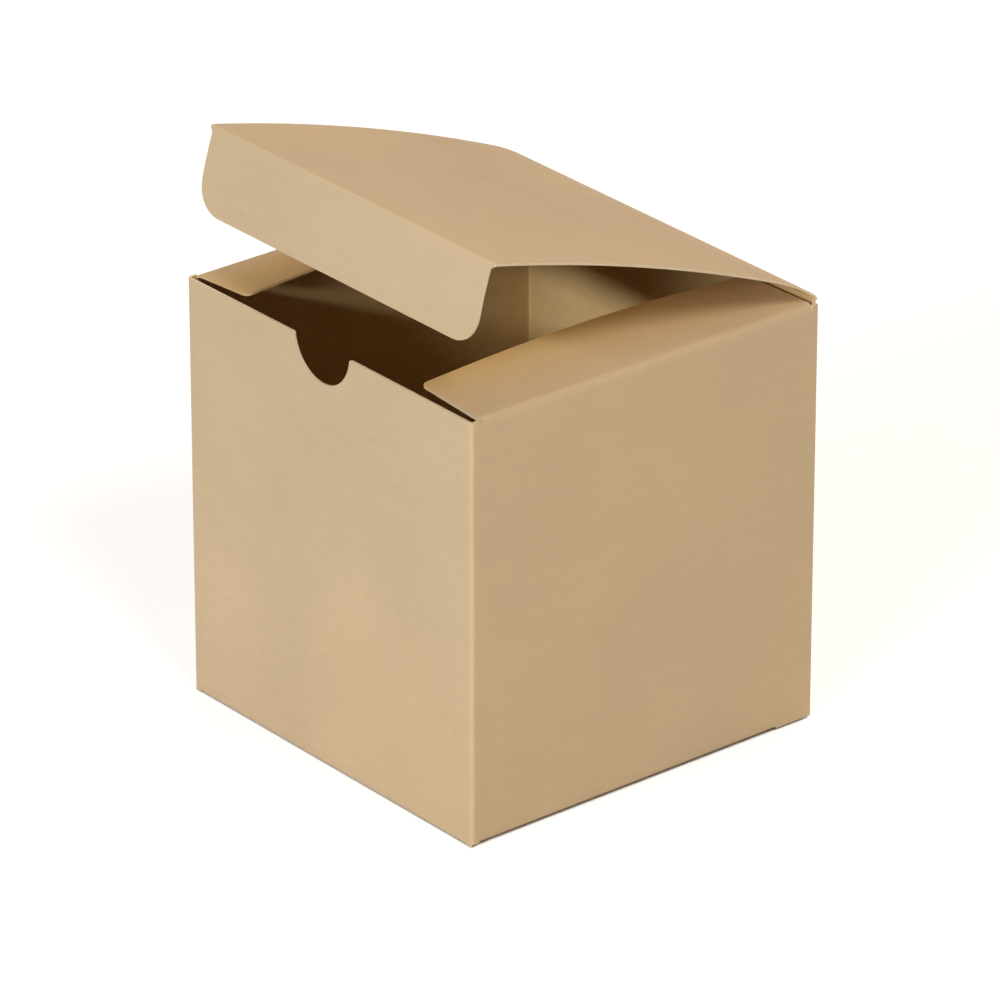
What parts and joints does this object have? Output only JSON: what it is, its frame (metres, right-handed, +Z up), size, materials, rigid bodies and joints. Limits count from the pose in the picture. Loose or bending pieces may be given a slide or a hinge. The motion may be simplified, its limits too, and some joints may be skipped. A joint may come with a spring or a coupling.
{
  "type": "tuck-top gift carton",
  "caption": "Near-cubic brown board carton with a hinged tuck lid standing part open, folded-in dust flaps, a thumb notch and a locked folded bottom.",
  "frame": {"origin": "middle of the flat base that the carton stands on, at the lowest point", "axes": "+X to the right along the front wall, +Y from the front wall to the back wall with the lid's crease, +Z up"},
  "size_m": [0.099, 0.098, 0.1365],
  "materials": {
    "carton_board": "smooth brown solid board with pale cut edges",
    "lid_board": "smooth brown solid board, softly bowed",
    "flap_board": "smooth brown solid board, slightly curled"
  },
  "bodies": {
    "carton": {"carton": "carton_board"},
    "lid": {"lid": "lid_board"},
    "tuck_flap": {"tuck_flap": "flap_board"}
  },
  "joints": [
    {"name": "lid_hinge", "type": "hinge", "parent": "carton", "child": "lid", "pos_m": [0, 0.0487, 0.103], "axis": [-1, 0, 0], "range_deg": [-20.1, 159.9]},
    {"name": "tuck_fold", "type": "hinge", "parent": "lid", "child": "tuck_flap", "pos_m": [0, -0.04197, 0.13618], "axis": [-1, 0, 0], "range_deg": [-6, 83.4]}
  ]
}
